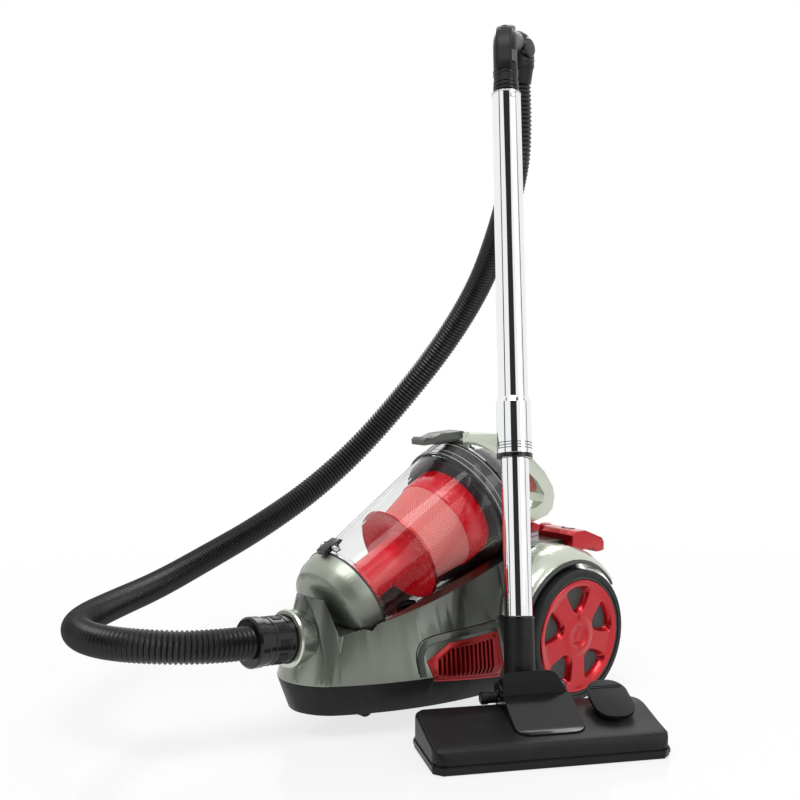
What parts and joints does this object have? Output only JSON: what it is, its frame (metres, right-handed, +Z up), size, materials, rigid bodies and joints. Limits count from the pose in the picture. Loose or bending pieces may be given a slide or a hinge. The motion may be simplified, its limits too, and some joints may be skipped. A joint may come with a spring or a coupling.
{
  "type": "canister vacuum cleaner",
  "caption": "Bagless cyclone canister vacuum cleaner with big side wheels, clear tilted dust bin, ribbed hose, telescopic chrome wand and floor head.",
  "frame": {"origin": "on the floor, at the middle of the footprint of canister, wand and floor head without the hose", "axes": "+Z up; -Y the way the canister's nose and hose inlet point; +X the canister's left side, where wand and floor head stand"},
  "size_m": [0.7313, 0.719, 0.8351],
  "materials": {
    "silver_shell": "metallic pearl gloss",
    "red_gloss": "translucent-look red gloss",
    "black_plastic": "fine satin",
    "black_gloss": "gloss",
    "chrome_tube": "mirror polished",
    "clear_bin": "clear",
    "smoked_head": "smoked clear",
    "tyre_rubber": "satin",
    "seal_rubber": "matt",
    "steel": "plain",
    "filter_foam": "pleated fleece",
    "motor_metal": "plain",
    "hose_rubber": "ribbed satin",
    "light_grey": "satin",
    "bristle": "brush"
  },
  "bodies": {
    "canister": {"base_chassis": "black_plastic", "base_screws": "steel", "nose_cap": "silver_shell", "side_panel_left": "silver_shell", "side_panel_right": "silver_shell", "rear_cover": "silver_shell", "exhaust_grilles": "red_gloss", "exhaust_filters": "filter_foam", "bin_cradle": "black_plastic", "inlet_duct": "black_plastic", "fenders": "silver_shell", "cord_gland": "black_gloss", "motor_can": "motor_metal", "stub_axles": "steel", "hose_lower": "hose_rubber"},
    "power_pedal": {"power_pedal": "red_gloss"},
    "cord_pedal": {"cord_pedal": "red_gloss"},
    "bin_release": {"bin_release_button": "red_gloss"},
    "motor_rotor": {"motor_rotor": "motor_metal", "fan_impeller": "black_plastic"},
    "cord_reel": {"cord_reel": "black_plastic"},
    "wheel_left": {"tyre_left": "tyre_rubber", "wheel_core_left": "black_plastic", "hub_cap_left": "red_gloss"},
    "wheel_right": {"tyre_right": "tyre_rubber", "wheel_core_right": "black_plastic", "hub_cap_right": "red_gloss"},
    "caster_fork": {"caster_fork": "black_plastic"},
    "caster_wheel": {"caster_wheel": "black_plastic"},
    "bin": {"bin_cylinder": "clear_bin", "bin_pins": "steel", "head_ring": "smoked_head", "cyclone_shroud": "red_gloss", "bin_filter": "filter_foam", "bin_head": "smoked_head", "bin_handle": "silver_shell"},
    "bin_floor": {"bin_floor": "silver_shell", "bin_floor_seal": "seal_rubber"},
    "floor_catch": {"bin_floor_catch": "black_gloss"},
    "head_latch": {"head_latch": "black_gloss"},
    "cuff": {"hose_cuff": "black_gloss", "cuff_collar": "black_gloss"},
    "wand_lower": {"neck": "black_plastic", "inner_tube": "chrome_tube"},
    "wand_upper": {"outer_tube": "chrome_tube", "grip": "black_plastic", "swivel_housing": "black_plastic", "hose_upper": "hose_rubber"},
    "lock_sleeve": {"lock_sleeve": "chrome_tube"},
    "snap_button": {"snap_button": "steel"},
    "suction_slider": {"suction_slider": "light_grey"},
    "hose_cup": {"hose_cup": "black_plastic"},
    "floor_head": {"head_sole": "black_plastic", "head_cover": "black_plastic", "head_saddle": "black_gloss", "head_pins": "steel"},
    "foot_pedal": {"foot_pedal": "black_gloss"},
    "bristles": {"bristle_strips": "bristle"},
    "head_rollers": {"head_rollers": "tyre_rubber"}
  },
  "joints": [
    {"name": "power_pedal_press", "type": "slide", "parent": "canister", "child": "power_pedal", "axis": [0, 0, -1], "range_m": [0, 0.004], "stiffness_N_per_m": 900},
    {"name": "cord_pedal_press", "type": "slide", "parent": "canister", "child": "cord_pedal", "axis": [0, 0, -1], "range_m": [0, 0.004], "stiffness_N_per_m": 900},
    {"name": "bin_release_press", "type": "slide", "parent": "canister", "child": "bin_release", "axis": [0, 0, -1], "range_m": [0, 0.004], "stiffness_N_per_m": 500},
    {"name": "motor_spin", "type": "hinge", "parent": "canister", "child": "motor_rotor", "pos_m": [-0.1248, 0.1378, 0.078], "axis": [0, 1, 0], "continuous": true},
    {"name": "cord_reel_turn", "type": "hinge", "parent": "canister", "child": "cord_reel", "pos_m": [-0.0948, 0.1578, 0.092], "axis": [1, 0, 0], "continuous": true},
    {"name": "wheel_left_roll", "type": "hinge", "parent": "canister", "child": "wheel_left", "pos_m": [-0.0948, 0.1378, 0.08], "axis": [1, 0, 0], "continuous": true},
    {"name": "wheel_right_roll", "type": "hinge", "parent": "canister", "child": "wheel_right", "pos_m": [-0.0948, 0.1378, 0.08], "axis": [1, 0, 0], "continuous": true},
    {"name": "caster_swivel", "type": "hinge", "parent": "canister", "child": "caster_fork", "pos_m": [-0.0948, -0.1032, 0.022], "axis": [0, 0, 1], "continuous": true},
    {"name": "caster_roll", "type": "hinge", "parent": "caster_fork", "child": "caster_wheel", "pos_m": [-0.0948, -0.0942, 0.0104], "axis": [1, 0, 0], "continuous": true},
    {"name": "bin_lift", "type": "slide", "parent": "canister", "child": "bin", "axis": [0, 0, 1], "range_m": [0, 0.12]},
    {"name": "bin_floor_swing", "type": "hinge", "parent": "bin", "child": "bin_floor", "pos_m": [-0.0948, -0.09561, 0.09093], "axis": [1, 0, 0], "range_deg": [0, 60]},
    {"name": "floor_catch_press", "type": "hinge", "parent": "bin", "child": "floor_catch", "pos_m": [-0.0948, -0.14152, 0.2065], "axis": [1, 0, 0], "range_deg": [-10, 0], "stiffness_Nm_per_rad": 0.5},
    {"name": "head_latch_lift", "type": "hinge", "parent": "bin", "child": "head_latch", "pos_m": [-0.0948, 0.0578, 0.32], "axis": [1, 0, 0], "range_deg": [-35, 0], "stiffness_Nm_per_rad": 0.2},
    {"name": "cuff_swivel", "type": "hinge", "parent": "canister", "child": "cuff", "pos_m": [-0.0948, -0.1802, 0.109], "axis": [0, -0.9969, 0.0785], "continuous": true},
    {"name": "wand_tilt", "type": "hinge", "parent": "canister", "child": "wand_lower", "pos_m": [0.0732, -0.0062, 0.05], "axis": [0.477, 0.8789, 0], "range_deg": [-1, 20], "deforming": ["hose_lower"]},
    {"name": "wand_extend", "type": "slide", "parent": "wand_lower", "child": "wand_upper", "axis": [-0.1988, 0.1624, 0.9665], "range_m": [-0.1, 0.2], "deforming": ["hose_upper"]},
    {"name": "head_level", "type": "hinge", "parent": "wand_lower", "child": "floor_head", "pos_m": [0.0732, -0.0062, 0.05], "axis": [0.477, 0.8789, 0], "range_deg": [-20, 1]},
    {"name": "lock_sleeve_pull", "type": "slide", "parent": "wand_upper", "child": "lock_sleeve", "axis": [0.1988, -0.1624, -0.9665], "range_m": [0, 0.006], "stiffness_N_per_m": 400},
    {"name": "snap_button_press", "type": "slide", "parent": "wand_upper", "child": "snap_button", "axis": [-0.9251, 0.2945, -0.2398], "range_m": [0, 0.002], "stiffness_N_per_m": 400},
    {"name": "suction_slide", "type": "slide", "parent": "wand_upper", "child": "suction_slider", "axis": [-0.1988, 0.1624, 0.9665], "range_m": [-0.004, 0.003]},
    {"name": "hose_swivel", "type": "hinge", "parent": "wand_upper", "child": "hose_cup", "pos_m": [-0.17108, 0.23456, 0.77668], "axis": [-0.0426, -0.0359, 0.9984], "continuous": true},
    {"name": "foot_pedal_rock", "type": "hinge", "parent": "floor_head", "child": "foot_pedal", "pos_m": [0.14644, 0.05819, 0.0414], "axis": [0.477, 0.8789, 0], "range_deg": [-8, 0]},
    {"name": "bristle_drop", "type": "slide", "parent": "floor_head", "child": "bristles", "axis": [0, 0, -1], "range_m": [0, 0.0052]},
    {"name": "head_rollers_roll", "type": "hinge", "parent": "floor_head", "child": "head_rollers", "pos_m": [0.08304, -0.00412, 0.008], "axis": [0.477, 0.8789, 0], "continuous": true}
  ],
  "couplings": [
    {"joint": "bin_floor_swing", "follows": "bin_lift", "rad_per_m": 8.7266},
    {"joint": "head_level", "follows": "wand_tilt", "ratio": -1},
    {"joint": "bristle_drop", "follows": "foot_pedal_rock", "m_per_rad": -0.0358}
  ]
}
